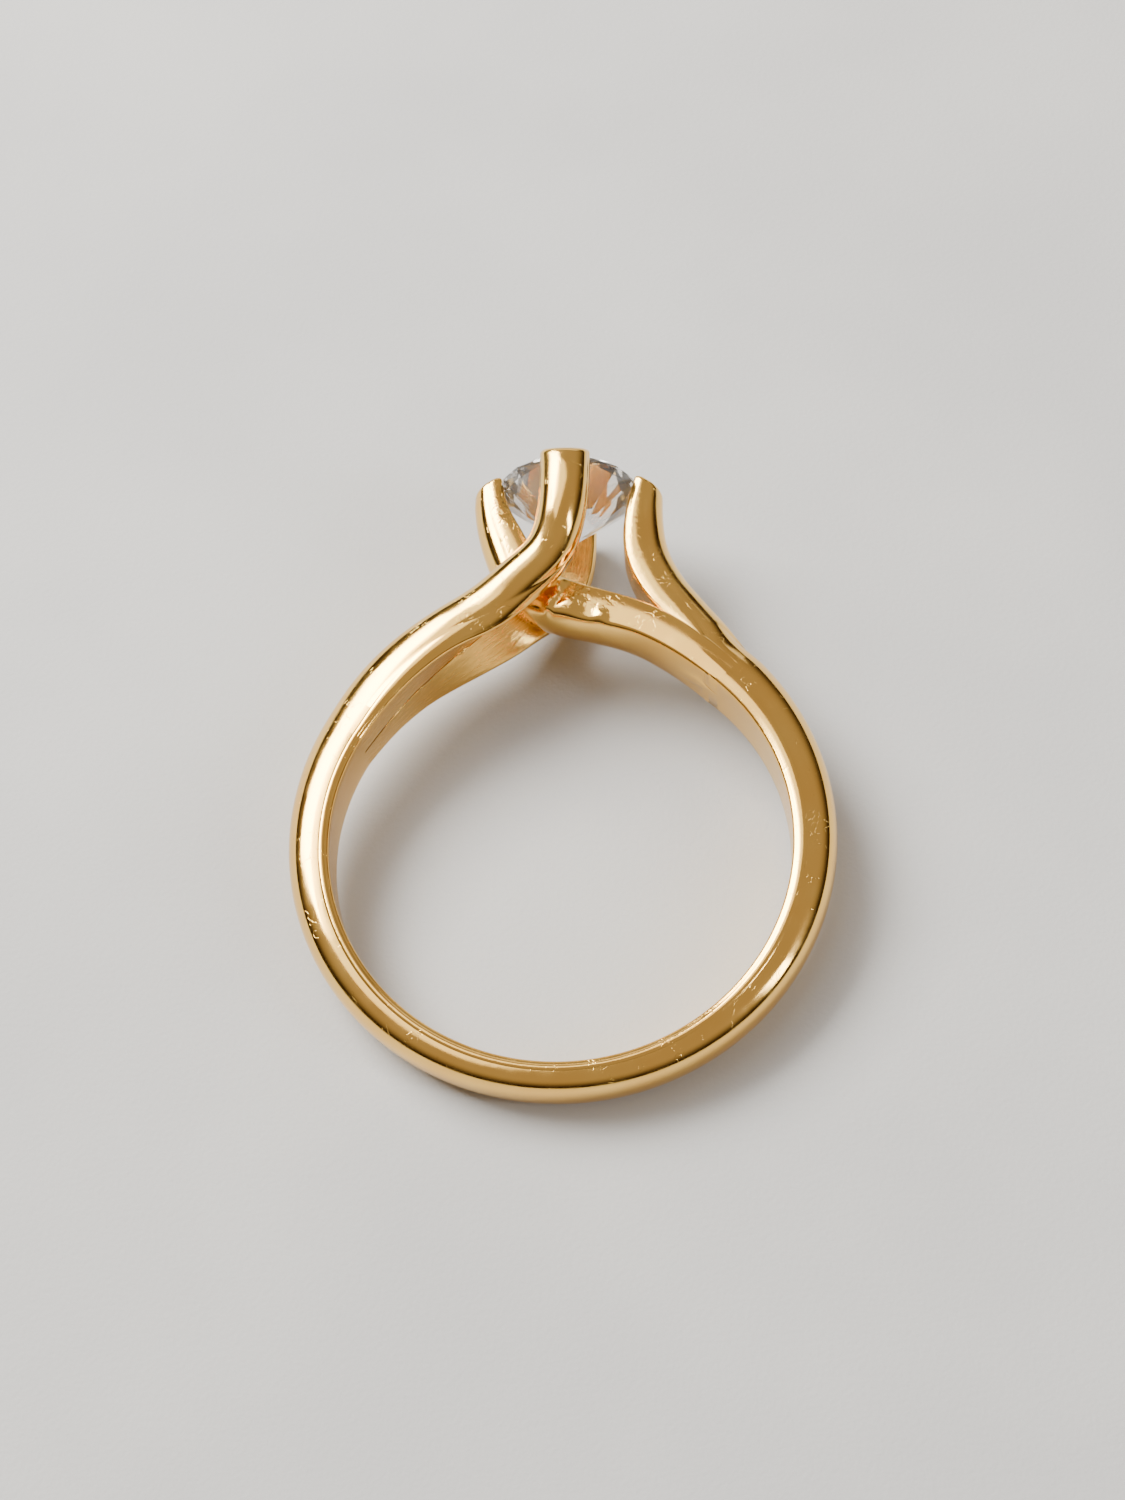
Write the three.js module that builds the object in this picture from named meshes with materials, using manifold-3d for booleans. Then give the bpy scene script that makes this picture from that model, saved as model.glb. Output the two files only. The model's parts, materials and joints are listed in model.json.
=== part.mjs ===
// A yellow-gold solitaire engagement ring, lying on its side. Millimetres, +Z up.
//
// The band is made of two half shanks. The left one forks sideways, into a front and a rear
// arm; the right one forks up and down, and its lower arm runs between the other two, under
// the stone. The four arms rise as the four prongs of a round brilliant.
//
// Everything is first built upright, with the finger hole's centre at the origin, X to the
// right, Y along the finger and Z up through the stone. The whole ring is then laid down on
// the plane Z = 0, on the three points that really carry it.
import * as THREE from 'three';
import { mergeVertices } from 'three/addons/utils/BufferGeometryUtils.js';
import { ConvexHull } from 'three/addons/math/ConvexHull.js';
import Module from 'manifold-3d';

const wasm = await Module();
wasm.setup();

// ---- Driving dimensions ----

// Band
const fingerHole = 16.9; // diameter, US size 6 1/2
const palmWidth = 2.2; // along the finger, opposite the stone
const shoulderWidth = 2.5; // along the finger, where the band forks
const palmThickness = 1.15;
const shoulderThickness = 2.1;
const sideFlat = 0.8; // height of the band's flat sides, under its domed outside
const edgeRound = 0.14; // worn round edges along every bar
const forkDepth = 1.1; // thickness of the lower branch, and of the flat sides, at the right fork
const leftFork = -62; // degrees from the stone, where the front and rear arms begin
const rightFork = 43; // degrees from the stone, where the right and left arms begin

// Stone: a round brilliant, in shares of its diameter
const stoneDiameter = 5.45; // about 0.6 carat
const tableShare = 0.57;
const crownShare = 0.145;
const girdleShare = 0.025;
const pavilionShare = 0.43;
const lowerHalfShare = 0.77; // reach of the lower halves towards the culet
const culetRise = 4.25; // from the finger to the culet

// Arms and prongs
const prongWidth = 1.8;
const prongThickness = 1.12;
const seatDepth = 0.15; // how far the girdle is let into each prong
const tipRise = 0.32; // prong top above the middle of the girdle
const tipSlant = 0.55; // fall of the prong top, from its inside to its outside
const underWidth = 2.0; // width of the arm that runs under the stone
const underThickness = 1.5;

// Fits
const solderGap = 0.03; // film of solder in each joint between two shaped pieces
const seatGap = 0.03; // between the stone and its seats
const slit = 0.08; // saw cut between the front and rear arms, beside each other

// Fineness
const outlineArc = 8; // steps over a bar's domed outside
const barSteps = 36; // steps along an arm
const shankSteps = 30; // steps along a half shank

// ---- Worked out from the driving dimensions ----

const fingerRadius = fingerHole / 2;
const stoneRadius = stoneDiameter / 2;
const culetHeight = fingerRadius + culetRise;
const girdleHeight = culetHeight + (pavilionShare + girdleShare / 2) * stoneDiameter;
const prongInside = stoneRadius - seatDepth; // flat inside face of each prong
const prongCentre = prongInside + prongThickness / 2;
const tipHeight = girdleHeight + tipRise;
const density = { gold: 15.5, diamond: 3.52 }; // g/cm3, used for the balance point

const radians = THREE.MathUtils.degToRad;
const { lerp, smoothstep } = THREE.MathUtils;

// A point above the finger, at an angle from the stone and turned towards +X.
function overFinger(degrees, rise, y = 0) {
  const r = fingerRadius + rise;
  return new THREE.Vector3(r * Math.sin(radians(degrees)), y, r * Math.cos(radians(degrees)));
}

// ---- Outlines: points (across, out), the same number in each, anticlockwise ----

// Two rounded lower corners and a domed top, given by the four points that steer it.
function outline(left, right, dome) {
  const points = [];
  const corner = edgeRound;
  const turns = [[left, 1, Math.PI], [right, -1, 1.5 * Math.PI]];
  for (const [edge, inward, start] of turns) {
    for (let i = 0; i <= 2; i += 1) {
      const a = start + i * Math.PI / 4;
      const x = edge + corner * (inward + Math.cos(a));
      points.push(new THREE.Vector2(x, corner * (1 + Math.sin(a))));
    }
  }
  const curve = new THREE.CubicBezierCurve(...dome);
  points.push(...curve.getPoints(outlineArc));
  return points;
}

// The four steering points of a full dome, from its right side to its left.
function domePoints(width, thickness, side) {
  const crown = (thickness - side / 4) / 0.75;
  const half = width / 2;
  return [[half, side], [0.6 * half, crown], [-0.6 * half, crown], [-half, side]]
    .map(([x, y]) => new THREE.Vector2(x, y));
}

function domed(width, thickness, side) {
  return outline(-width / 2, width / 2, domePoints(width, thickness, side));
}

// The left half of a dome of twice the width, moved to the middle: half a band, split lengthways.
function halfDomed(width, thickness, side) {
  const [p0, p1, p2, p3] = domePoints(2 * width, thickness, side);
  const middle = (a, b) => a.clone().add(b).multiplyScalar(0.5);
  const p01 = middle(p0, p1);
  const p12 = middle(p1, p2);
  const p23 = middle(p2, p3);
  const p012 = middle(p01, p12);
  const p123 = middle(p12, p23);
  const half = [middle(p012, p123), p123, p23, p3].map((p) => p.setX(p.x + width / 2));
  return outline(-width / 2, width / 2, half);
}

// ---- Solids ----

// A closed bar skinned over rings of points, which all have the same number of points.
function skin(rings) {
  const sides = rings[0].length;
  const steps = rings.length - 1;
  const bar = new THREE.CylinderGeometry(1, 1, 1, sides, steps);
  const position = bar.attributes.position;
  const centres = rings.map((ring) => ring.reduce((sum, p) => sum.add(p), new THREE.Vector3())
    .divideScalar(sides));
  for (let i = 0; i < position.count; i += 1) {
    const x = position.getX(i);
    const z = position.getZ(i);
    const row = Math.round((position.getY(i) + 0.5) * steps);
    const column = Math.round((Math.atan2(x, z) / (2 * Math.PI)) * sides + sides) % sides;
    const onAxis = Math.hypot(x, z) < 0.5;
    const p = onAxis ? centres[row] : rings[row][column];
    position.setXYZ(i, p.x, p.y, p.z);
  }
  return bar;
}

function toSolid(geometry) {
  const bare = geometry.clone();
  bare.deleteAttribute('normal');
  bare.deleteAttribute('uv');
  const merged = mergeVertices(bare, 1e-4);
  return new wasm.Manifold(new wasm.Mesh({
    numProp: 3,
    vertProperties: new Float32Array(merged.attributes.position.array),
    triVerts: new Uint32Array(merged.index.array),
  }));
}

function toGeometry(solid) {
  const mesh = solid.getMesh();
  const geometry = new THREE.BufferGeometry();
  geometry.setAttribute('position', new THREE.BufferAttribute(mesh.vertProperties, 3));
  geometry.setIndex(new THREE.BufferAttribute(mesh.triVerts, 1));
  geometry.computeVertexNormals();
  return geometry;
}

// ---- The band ----

function bandSize(degrees) {
  const fromPalm = 180 - Math.abs(degrees);
  const grow = Math.min(fromPalm / 135, 1) ** 1.6;
  return {
    width: lerp(palmWidth, shoulderWidth, smoothstep(fromPalm, 50, 115)),
    thickness: lerp(palmThickness, shoulderThickness, grow),
    side: lerp(sideFlat, degrees > 0 ? forkDepth : sideFlat, grow),
  };
}

function bandRing(degrees) {
  const { width, thickness, side } = bandSize(degrees);
  const out = overFinger(degrees, 0).normalize();
  return domed(width, thickness, side).map(
    ({ x, y }) => out.clone().multiplyScalar(fingerRadius + y).setY(x),
  );
}

// Half of the band, from the palm to its fork.
function halfShank(fork) {
  const palm = 180 * Math.sign(fork);
  const rings = [];
  for (let i = 0; i <= shankSteps; i += 1) {
    rings.push(bandRing(lerp(palm, fork, i / shankSteps)));
  }
  return skin(fork > 0 ? rings.reverse() : rings);
}

// ---- The arms ----

// An arm is a list of stations: at (centre), out (towards its domed face), wide, thick, flat
// (height of its flat sides, in shares of its thickness) and, where it is still half of the
// band, half (1 at the fork, 0 where it has its own full dome). extra is added on every side,
// for the room that a crossing arm needs.
function arm(stations, extra = 0) {
  const route = new THREE.CatmullRomCurve3(stations.map((s) => s.at));
  const faces = new THREE.CatmullRomCurve3(stations.map((s) => s.out));
  const pair = (x, y = 0) => new THREE.Vector3(x, y, 0);
  const sizes = new THREE.CatmullRomCurve3(stations.map((s) => pair(s.wide, s.thick)));
  const shapes = new THREE.CatmullRomCurve3(stations.map((s) => pair(s.flat, s.half)));
  const rings = [];
  for (let i = 0; i <= barSteps; i += 1) {
    const t = i / barSteps;
    const centre = route.getPoint(t);
    const along = route.getTangent(t);
    const out = faces.getPoint(t);
    if (i === 0) {
      along.copy(stations[0].along);
      centre.addScaledVector(along, -extra);
    }
    out.addScaledVector(along, -out.dot(along)).normalize();
    const across = new THREE.Vector3().crossVectors(out, along);
    const { x: wide, y: thick } = sizes.getPoint(t);
    const { x: flat, y: half } = shapes.getPoint(t);
    const width = wide + 2 * extra;
    const thickness = thick + 2 * extra;
    const side = flat * thick + extra;
    const full = domed(width, thickness, side);
    const split = halfDomed(width, thickness, side);
    rings.push(full.map((p, k) => {
      const q = p.clone().lerp(split[k], THREE.MathUtils.clamp(half, 0, 1));
      return centre.clone().addScaledVector(across, q.x).addScaledVector(out, q.y - thickness / 2);
    }));
  }
  return skin(rings);
}

// Direction of travel round the band towards the stone, at an angle from it.
function towardsStone(degrees) {
  const turn = -Math.sign(degrees);
  return new THREE.Vector3(turn * Math.cos(radians(degrees)), 0, -turn * Math.sin(radians(degrees)));
}

const aside = (x, z) => new THREE.Vector3(x, 0, z);
const station = (at, out, wide, thick, flat) => ({ at, out, wide, thick, flat });

// Right arm: the upper branch of the right fork. Its domed face is the band's own outside, and
// its root reaches halfway into the lower branch, which is cut out of it afterwards.
function rightArmStations() {
  const { width, thickness, side } = bandSize(rightFork);
  const sunk = forkDepth / 2;
  const root = thickness - sunk;
  const outward = overFinger(rightFork, 0).normalize();
  return [
    {
      ...station(overFinger(rightFork, sunk + root / 2), outward, width, root, (side - sunk) / root),
      along: towardsStone(rightFork),
    },
    station(overFinger(33, 1.72), aside(0.62, 0.78), 2.25, 1.65, 0.45),
    station(overFinger(25.5, 2.22), aside(0.76, 0.65), 2.05, 1.75, 0.55),
    station(overFinger(19, 2.95), aside(0.88, 0.47), 1.95, 1.8, 0.6),
    station(aside(prongCentre - 0.05, girdleHeight - 2.9), aside(0.99, 0.1), 1.9, 1.75, 0.6),
    station(aside(prongCentre - 0.16, girdleHeight - 1.5), aside(1, -0.05), 1.85, 1.5, 0.6),
    station(aside(prongCentre, tipHeight), aside(1, -0.1), prongWidth, prongThickness, 0.6),
  ];
}

// Left arm: the lower branch of the right fork. It follows the finger, passes under the stone
// between the front and rear arms, and its finger side becomes the prong's outside.
function leftArmStations() {
  const { width } = bandSize(rightFork);
  const inward = overFinger(rightFork, 0).normalize().negate();
  const thick = underThickness;
  return [
    {
      ...station(overFinger(rightFork, forkDepth / 2), inward, width, forkDepth, 1),
      along: towardsStone(rightFork),
    },
    station(overFinger(30, 0.7), aside(-0.5, -0.87), 2.35, 1.4, 0.88),
    station(overFinger(18, 0.98), aside(-0.27, -0.96), 2.15, thick, 0.86),
    station(overFinger(8, 1.15), aside(-0.22, -0.98), underWidth, 1.1 * thick, 0.82),
    station(overFinger(-1.5, 1.5), aside(-0.42, -0.9), underWidth, 1.2 * thick, 0.78),
    station(overFinger(-8.5, 2.42), aside(-0.68, -0.73), underWidth, 1.2 * thick, 0.7),
    station(aside(0.75 - prongCentre, girdleHeight - 2.75), aside(-0.85, -0.5), 1.95, 1.75, 0.62),
    station(aside(0.14 - prongCentre, girdleHeight - 1.1), aside(-0.98, -0.15), 1.85, 1.35, 0.6),
    station(aside(-prongCentre, tipHeight), aside(-1, 0.06), prongWidth, prongThickness, 0.6),
  ];
}

// Front arm: the front half of the left fork. It runs beside its mirror image, the rear arm,
// widens towards the front, and turns its domed face from the band's outside to the front
// while it climbs past the left arm to its prong.
function frontArmStations() {
  const { width, thickness, side } = bandSize(leftFork);
  const root = overFinger(leftFork, thickness / 2, -width / 4);
  const outward = overFinger(leftFork, 0).normalize();
  const facing = (x, z, front) => new THREE.Vector3(x, -front, z);
  const beside = (degrees, inside, out, wide, thick, flat, half) => ({
    ...station(overFinger(degrees, inside + thick / 2, -(slit + wide) / 2), out, wide, thick, flat),
    half,
  });
  const rising = (x, front, belowGirdle, out, wide, thick, flat) =>
    station(facing(x, girdleHeight - belowGirdle, front), out, wide, thick, flat);
  return [
    {
      ...station(root, outward, width / 2, thickness, side / thickness),
      half: 1,
      along: towardsStone(leftFork),
    },
    beside(-50, 0, facing(-0.76, 0.65, 0.02), 1.38, 2.1, 0.4, 0.85),
    beside(-39, 0.12, facing(-0.63, 0.77, 0.12), 1.62, 2.05, 0.42, 0.6),
    beside(-28, 0.33, facing(-0.45, 0.85, 0.28), 1.95, 1.85, 0.45, 0.3),
    beside(-18, 0.68, facing(-0.3, 0.8, 0.55), 2.1, 1.75, 0.5, 0.1),
    station(overFinger(-9.5, 2.22, -1.72), facing(-0.25, 0.45, 0.95), 1.95, 1.5, 0.5),
    rising(-0.6, 0.74 * prongCentre, 3.7, facing(-0.1, 0, 1), 1.8, 1.3, 0.5),
    rising(-0.12, prongCentre - 0.26, 2.55, facing(0, -0.25, 1), 1.78, 1.25, 0.5),
    rising(0, prongCentre, 1.2, facing(0, -0.06, 1), prongWidth, 1.2, 0.55),
    rising(0, prongCentre, -tipRise, facing(0, 0, 1), prongWidth, prongThickness, 0.6),
  ];
}

// ---- The stone ----

// A round brilliant with its culet down. The crown's eight kites and the pavilion's eight
// mains are flat because their side corners are worked out from the plane they lie in.
function brilliant(extra = 0) {
  const r = stoneRadius + extra;
  const crown = crownShare * stoneDiameter;
  const pavilion = pavilionShare * stoneDiameter;
  const halfGirdle = girdleShare * stoneRadius + extra;
  const top = girdleHeight + halfGirdle;
  const bottom = girdleHeight - halfGirdle;
  const eighth = Math.PI / 8;
  const starReach = (tableShare * Math.cos(eighth) + 1) / 2;
  const starFall = (starReach * Math.cos(eighth) - tableShare) / (1 - tableShare);
  const halfReach = 1 - lowerHalfShare;
  const ringOf = (count, share, z, start = 0) => Array.from({ length: count }, (_, i) => {
    const a = start + (i * 2 * Math.PI) / count;
    return new THREE.Vector3(share * r * Math.sin(a), share * r * Math.cos(a), z);
  });
  const corners = [
    ...ringOf(8, tableShare, top + crown, eighth),
    ...ringOf(8, starReach, top + crown * (1 - starFall)),
    ...ringOf(16, 1, top),
    ...ringOf(16, 1, bottom),
    ...ringOf(8, halfReach, bottom - pavilion * (1 - halfReach * Math.cos(eighth))),
    new THREE.Vector3(0, 0, bottom - pavilion),
  ];
  const hull = new ConvexHull().setFromPoints(corners);
  const points = [];
  for (const face of hull.faces) {
    let edge = face.edge;
    do {
      points.push(edge.head().point);
      edge = edge.next;
    } while (edge !== face.edge);
  }
  return mergeVertices(new THREE.BufferGeometry().setFromPoints(points));
}

// What is cut off the four prongs: a flat top that falls away to the outside.
function tipTrim() {
  const outside = prongInside + 2 * prongThickness;
  const flat = stoneRadius + 0.1;
  const fall = tipSlant * (outside - flat) / (prongCentre + prongThickness / 2 - flat);
  const profile = [[0, tipHeight], [flat, tipHeight], [outside, tipHeight - fall],
    [outside, tipHeight + 3], [0, tipHeight + 3], [0, tipHeight]];
  const trim = new THREE.LatheGeometry(profile.map(([x, y]) => new THREE.Vector2(x, y)), 48);
  return trim.rotateX(Math.PI / 2);
}

// Everything behind the saw cut that parts the front arm from the rear one.
function rearHalf() {
  const reach = 4 * fingerHole;
  const block = new THREE.BoxGeometry(reach, reach, reach);
  return block.translate(0, (reach - slit) / 2, 0);
}

// ---- Putting it together, upright ----

const gold = new THREE.MeshStandardMaterial({ color: '#c89b52', roughness: 0.16, metalness: 1 });
const diamond = new THREE.MeshStandardMaterial({ color: '#f4f6f8', roughness: 0.02, metalness: 0 });

function buildPieces() {
  const stone = toSolid(brilliant());
  const seat = toSolid(brilliant(seatGap));
  const trim = toSolid(tipTrim());
  const leftShank = toSolid(halfShank(leftFork));
  const rightShank = toSolid(halfShank(rightFork));
  const leftArm = toSolid(arm(leftArmStations())).subtract(trim).subtract(seat);
  const leftArmRoom = toSolid(arm(leftArmStations(), solderGap));
  const rightArm = toSolid(arm(rightArmStations())).subtract(leftArmRoom).subtract(trim).subtract(seat);
  const sawCut = toSolid(rearHalf());
  const frontArm = toSolid(arm(frontArmStations()))
    .subtract(sawCut)
    .subtract(leftArmRoom)
    .subtract(trim)
    .subtract(seat);
  const rearArm = frontArm.mirror([0, 1, 0]);
  return [
    ['shank_left', leftShank, gold],
    ['shank_right', rightShank, gold],
    ['arm_front_prong', frontArm, gold],
    ['arm_rear_prong', rearArm, gold],
    ['arm_right_prong', rightArm, gold],
    ['arm_left_prong', leftArm, gold],
    ['diamond', stone, diamond],
  ];
}

// ---- Laying it down ----

// The balance point of the whole ring.
function balancePoint(pieces) {
  const balance = new THREE.Vector3();
  let weight = 0;
  for (const [, solid, material] of pieces) {
    const { vertProperties: p, triVerts: t } = solid.getMesh();
    const corner = (k) => new THREE.Vector3(p[3 * t[k]], p[3 * t[k] + 1], p[3 * t[k] + 2]);
    for (let k = 0; k < t.length; k += 3) {
      const [a, b, c] = [corner(k), corner(k + 1), corner(k + 2)];
      const volume = a.dot(new THREE.Vector3().crossVectors(b, c));
      const share = volume * (material === gold ? density.gold : density.diamond);
      balance.addScaledVector(a.add(b).add(c), share / 4);
      weight += share;
    }
  }
  return balance.divideScalar(weight);
}

// The turn that lays the ring on its rear side. It rests on the face of its outer hull that
// the balance point stands over: the nearest one to the rear whose normal, taken as down,
// runs from the balance point through the face itself.
function layDown(pieces) {
  const points = [];
  for (const [, solid] of pieces) {
    const { vertProperties: p } = solid.getMesh();
    for (let k = 0; k < p.length; k += 3) {
      points.push(new THREE.Vector3(p[k], p[k + 1], p[k + 2]));
    }
  }
  const hull = new ConvexHull().setFromPoints(points);
  const rear = new THREE.Vector3(0, 1, 0);
  const plumb = new THREE.Ray(balancePoint(pieces));
  const carries = hull.faces.filter((face) => {
    plumb.direction.copy(face.normal);
    const [a, b, c] = [0, 1, 2].map((i) => face.getEdge(i).head().point);
    return plumb.intersectTriangle(a, b, c, false, new THREE.Vector3()) !== null;
  });
  carries.sort((a, b) => a.normal.angleTo(rear) - b.normal.angleTo(rear));
  const upright = new THREE.Quaternion().setFromAxisAngle(new THREE.Vector3(1, 0, 0), -Math.PI / 2);
  const down = carries[0].normal.clone().applyQuaternion(upright);
  const settle = new THREE.Quaternion().setFromUnitVectors(down, new THREE.Vector3(0, 0, -1));
  return settle.multiply(upright);
}

const pieces = buildPieces();
const ring = new THREE.Group();
for (const [name, solid, material] of pieces) {
  const mesh = new THREE.Mesh(toGeometry(solid), material);
  mesh.name = name;
  ring.add(mesh);
}
ring.quaternion.copy(layDown(pieces));
ring.updateMatrixWorld(true);
const box = new THREE.Box3().setFromObject(ring, true);
ring.position.set(-(box.min.x + box.max.x) / 2, -(box.min.y + box.max.y) / 2, -box.min.z);

const part = new THREE.Group();
part.add(ring);
export default part;
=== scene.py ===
import json
import math

import bmesh
import bpy
import numpy as np
from mathutils import Matrix, Vector


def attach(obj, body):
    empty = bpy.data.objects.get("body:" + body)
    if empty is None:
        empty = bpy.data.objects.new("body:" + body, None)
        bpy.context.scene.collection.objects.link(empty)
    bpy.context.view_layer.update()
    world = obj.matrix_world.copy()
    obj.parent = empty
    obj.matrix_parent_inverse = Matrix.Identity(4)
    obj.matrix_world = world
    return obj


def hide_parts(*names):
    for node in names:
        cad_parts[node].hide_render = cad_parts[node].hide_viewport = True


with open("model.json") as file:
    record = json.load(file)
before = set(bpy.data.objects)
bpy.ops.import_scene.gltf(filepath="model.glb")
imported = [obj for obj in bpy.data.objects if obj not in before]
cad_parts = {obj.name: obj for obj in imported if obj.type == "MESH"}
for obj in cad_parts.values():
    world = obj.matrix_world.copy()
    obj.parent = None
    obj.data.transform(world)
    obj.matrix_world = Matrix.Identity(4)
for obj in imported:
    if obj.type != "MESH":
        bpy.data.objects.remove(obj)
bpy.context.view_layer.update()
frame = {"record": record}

MM = 0.001

# ---- Sizes, in millimetres and degrees, as in the CAD ----

FINGER_RADIUS = 8.45
PALM_WIDTH = 2.2
SHOULDER_WIDTH = 2.5
PALM_THICKNESS = 1.15
SHOULDER_THICKNESS = 2.1
SIDE_FLAT = 0.8
GROWN_AT = 135  # degrees from the palm at which the band has its full thickness
GROW_POWER = 1.6  # how late it grows
WIDENS = (50, 115)  # degrees from the palm between which it widens
EDGE_ROUND = 0.14
FORK_DEPTH = 1.1
LEFT_FORK = -62
RIGHT_FORK = 43

STONE_DIAMETER = 5.45
TABLE_SHARE = 0.57
CROWN_SHARE = 0.145
GIRDLE_SHARE = 0.025
PAVILION_SHARE = 0.43
LOWER_HALF_SHARE = 0.77
CULET_RISE = 4.25

PRONG_WIDTH = 1.8
PRONG_THICKNESS = 1.12
SEAT_DEPTH = 0.15
TIP_RISE = 0.32
TIP_SLANT = 0.55
UNDER_WIDTH = 2.0
UNDER_THICKNESS = 1.5

SOLDER_GAP = 0.02
SEAT_GAP = 0.01
SLIT = 0.08

# ---- Sizes that only the finished look has ----

ARM_FILLET = 0.16  # along each upper edge of an arm
BAND_FILLET = 0.42  # the same on the band, which is worn rounder
JOINT_EDGE = 0.03  # edges that are still joined at a fork
FILLET_REACH = 1.3  # how far over the dome a round edge of 1 reaches
FILLET_SHARE = 0.25  # the most of the dome's length that one round edge takes
FILLET_DROP = 0.75  # the most of a side's height that it takes
SIDE_CROWN = 0.05  # how far hand polishing leaves the flat sides proud in their middle
CROWN_SPAN = 0.2  # a side lower than this is left less proud
TIP_ROUND = 0.18  # round the edge of each prong's top
TIP_FLAT = 0.1  # how far past the stone a prong's top stays level
TIP_BEND = 0.12  # how gently it then turns down
TIP_REACH = 1.2  # how far below its top a prong is fitted to it
TIP_RINGS = (0.8, 0.5, 0.25)  # shares of the top's rim at which it has a ring of points
CORNER_STEPS = 5  # points of an outline: round a corner,
FLAT_STEPS = 8  # across the finger side,
SIDE_STEPS = 14  # up a flat side
DOME_STEPS = 30  # and over the dome
BAR_STEPS = 210
SHANK_STEPS = 190
FIRST_STEPS = 300  # along an arm, before the steps are spaced evenly
STATION_BLEND = 9  # of those steps, over which one station runs into the next
ROOT_BLEND = 14  # rings over which an arm turns out of its fork
FLUSH_RINGS = 45  # rings over which an arm leaves the band's outline
SHARP_EDGE = 28  # degrees; flatter edges are shaded smooth
GIRDLE_SIDES = 96
SOLDER_LINE = ((-0.8, 9.3), (-0.05, 10.6))  # (x, z) ends of the rough joint at the crossing
SOLDER_LUMPS = 11
SOLDER_SCATTER = 0.07  # of the lumps about that line
LUMP_REACH = (0.09, 0.17)  # least and most
LUMP_HEIGHT = (0.07, 0.16)
SOLDER_BEADS = [(0.19, 9.65, 0.3, 0.13), (1.38, 9.16, 0.17, 0.1)]  # x, z, reach and height
SOLDER_FROM = (0.35, 0.85)  # off the ring's middle, where the lumps begin and are whole

STONE_RADIUS = STONE_DIAMETER / 2
CULET_HEIGHT = FINGER_RADIUS + CULET_RISE
GIRDLE_HEIGHT = CULET_HEIGHT + (PAVILION_SHARE + GIRDLE_SHARE / 2) * STONE_DIAMETER
HALF_GIRDLE = GIRDLE_SHARE * STONE_RADIUS
TABLE_HEIGHT = GIRDLE_HEIGHT + HALF_GIRDLE + CROWN_SHARE * STONE_DIAMETER
PRONG_INSIDE = STONE_RADIUS - SEAT_DEPTH
PRONG_CENTRE = PRONG_INSIDE + PRONG_THICKNESS / 2
TIP_HEIGHT = GIRDLE_HEIGHT + TIP_RISE


# ---- Where the upright ring lies in the frame ----


def placing():
    """The upright ring's place in the frame, from the stone's table and the band's side."""
    mounts = {m["name"]: m for m in frame["record"]["mounts"]}
    table = mounts["stone_table"]
    up = Vector(table["axis"]).normalized()
    rear = -Vector(mounts["shank_left_upper_side"]["axis"]).normalized()
    right = rear.cross(up).normalized()
    rear = up.cross(right)
    origin = Vector(table["pos_m"]) - up * TABLE_HEIGHT * MM
    place = Matrix((right, rear, up)).transposed().to_4x4()
    place.translation = origin
    return place


PLACE = placing()

# ---- Curves and outlines ----


def vec(*xyz):
    return np.array(xyz, float)


def unit(v):
    return v / np.linalg.norm(v, axis=-1, keepdims=True)


def over_finger(degrees, rise, y=0.0):
    """A point at degrees round the finger hole from the stone, rise above the hole's wall."""
    a, r = math.radians(degrees), FINGER_RADIUS + rise
    return vec(r * math.sin(a), y, r * math.cos(a))


def towards_stone(degrees):
    """The band's direction at degrees, along it and up towards the stone."""
    a, turn = math.radians(degrees), -math.copysign(1, degrees)
    return vec(turn * math.cos(a), 0, -turn * math.sin(a))


def smoothstep(x, low, high):
    t = np.clip((x - low) / (high - low), 0, 1)
    return t * t * (3 - 2 * t)


def curve(points, steps, start=None):
    """A centripetal Catmull-Rom curve, as the CAD's arms follow, but leaving in direction start."""
    points = np.asarray(points, float)
    ends = [2 * points[0] - points[1], *points, 2 * points[-1] - points[-2]]
    rows = []
    for t in np.linspace(0, len(points) - 1, steps + 1):
        k = min(int(t), len(points) - 2)
        w = t - k
        x0, x1, x2, x3 = ends[k : k + 4]
        d0, d1, d2 = (np.linalg.norm(b - a) ** 0.5 for a, b in ((x0, x1), (x1, x2), (x2, x3)))
        d1 = d1 if d1 > 1e-4 else 1.0
        d0 = d0 if d0 > 1e-4 else d1
        d2 = d2 if d2 > 1e-4 else d1
        m1 = ((x1 - x0) / d0 - (x2 - x0) / (d0 + d1) + (x2 - x1) / d1) * d1
        if k == 0 and start is not None:
            m1 = start * np.linalg.norm(x2 - x1)
        m2 = ((x2 - x1) / d1 - (x3 - x1) / (d1 + d2) + (x3 - x2) / d2) * d1
        c2 = -3 * x1 + 3 * x2 - 2 * m1 - m2
        c3 = 2 * x1 - 2 * x2 + m1 + m2
        rows.append(x1 + m1 * w + c2 * w**2 + c3 * w**3)
    return np.array(rows)


def softened(rows, reach):
    """The rows blurred over a number of steps, with both ends kept."""
    pad = 3 * reach
    before = 2 * rows[0] - rows[pad:0:-1]
    after = 2 * rows[-1] - rows[-2 : -pad - 2 : -1]
    padded = np.vstack([before, rows, after])
    weights = np.exp(-0.5 * (np.arange(-pad, pad + 1) / reach) ** 2)
    weights /= weights.sum()
    columns = [np.convolve(padded[:, k], weights, "valid") for k in range(rows.shape[1])]
    return np.stack(columns, 1)


def bezier(p, t):
    t = np.asarray(t, float)[:, None]
    s = 1 - t
    return s**3 * p[0] + 3 * t * s**2 * p[1] + 3 * t**2 * s * p[2] + t**3 * p[3]


def dome_points(width, thickness, side):
    """The four steering points of a full dome, from its right side to its left. Its top
    reaches the thickness, because the curve's middle has 3/4 of crown and 1/4 of side."""
    crown, half = (thickness - side / 4) / 0.75, width / 2
    return np.array([(half, side), (0.6 * half, crown), (-0.6 * half, crown), (-half, side)])


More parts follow.
